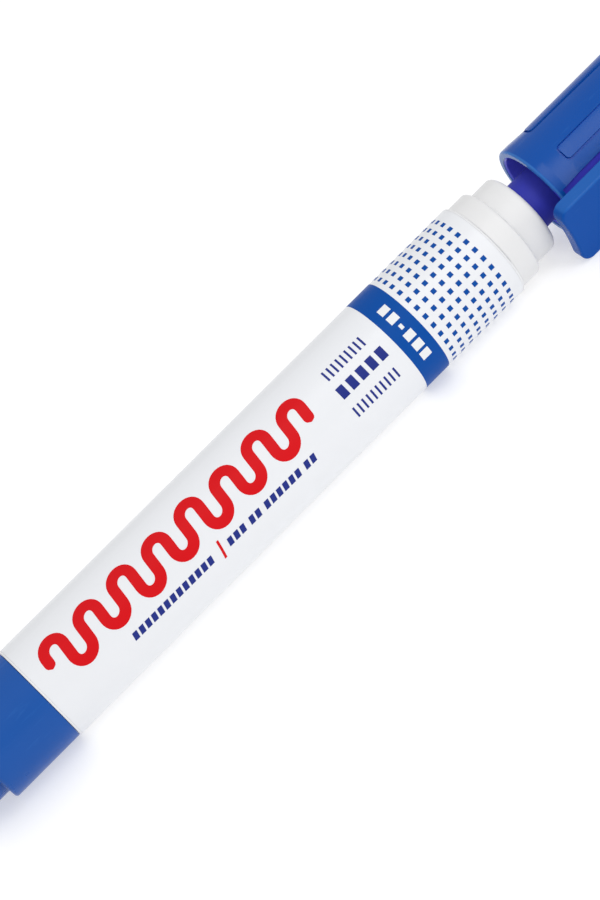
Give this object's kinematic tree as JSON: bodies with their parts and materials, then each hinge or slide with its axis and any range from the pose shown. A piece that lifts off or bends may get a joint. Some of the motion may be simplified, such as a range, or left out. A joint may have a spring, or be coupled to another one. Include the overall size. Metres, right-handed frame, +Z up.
{
  "type": "whiteboard marker",
  "caption": "Refillable whiteboard marker with a round white barrel, a stepped front collar, a bullet nib, a coloured rear plug and a ribbed pull-off cap with a flat clip.",
  "frame": {"origin": "on the marker's axis, at the flat rear end face of the plug's tail", "axes": "+X runs along the marker from its tail to its nib and cap, +Z is up as it lies on a table leaning on its clip"},
  "size_m": [0.1492, 0.0186, 0.0152],
  "materials": {
    "barrel_white": "smooth moulded polypropylene",
    "label_print": "printed film, semi-gloss",
    "collar_white": "smooth moulded polypropylene",
    "holder_indigo": "moulded, matt",
    "nib_fibre": "ink-soaked pressed fibre",
    "reservoir_fibre": "bundled fibre soaked with ink",
    "film_clear": "clear film",
    "plug_blue": "smooth moulded polypropylene",
    "cap_blue": "polished moulded polypropylene"
  },
  "bodies": {
    "marker": {"barrel": "barrel_white", "label_film": "label_print", "front_collar": "collar_white", "nib_holder": "holder_indigo", "nib": "nib_fibre", "ink_reservoir": "reservoir_fibre", "reservoir_film": "film_clear"},
    "plug": {"rear_plug": "plug_blue"},
    "cap": {"cap_shell": "cap_blue", "cap_liner": "holder_indigo"},
    "clip": {"cap_clip": "cap_blue"}
  },
  "joints": [
    {"name": "cap_pull", "type": "slide", "parent": "marker", "child": "cap", "axis": [1, 0, 0], "range_m": [-0.0072, 0.03]},
    {"name": "clip_flex", "type": "hinge", "parent": "cap", "child": "clip", "pos_m": [0.1427, -0.00865, -0.00232], "axis": [0, -0.2588, 0.9659], "range_deg": [0, 5], "stiffness_Nm_per_rad": 2},
    {"name": "plug_pull", "type": "slide", "parent": "marker", "child": "plug", "axis": [-1, 0, 0], "range_m": [0, 0.012]}
  ]
}
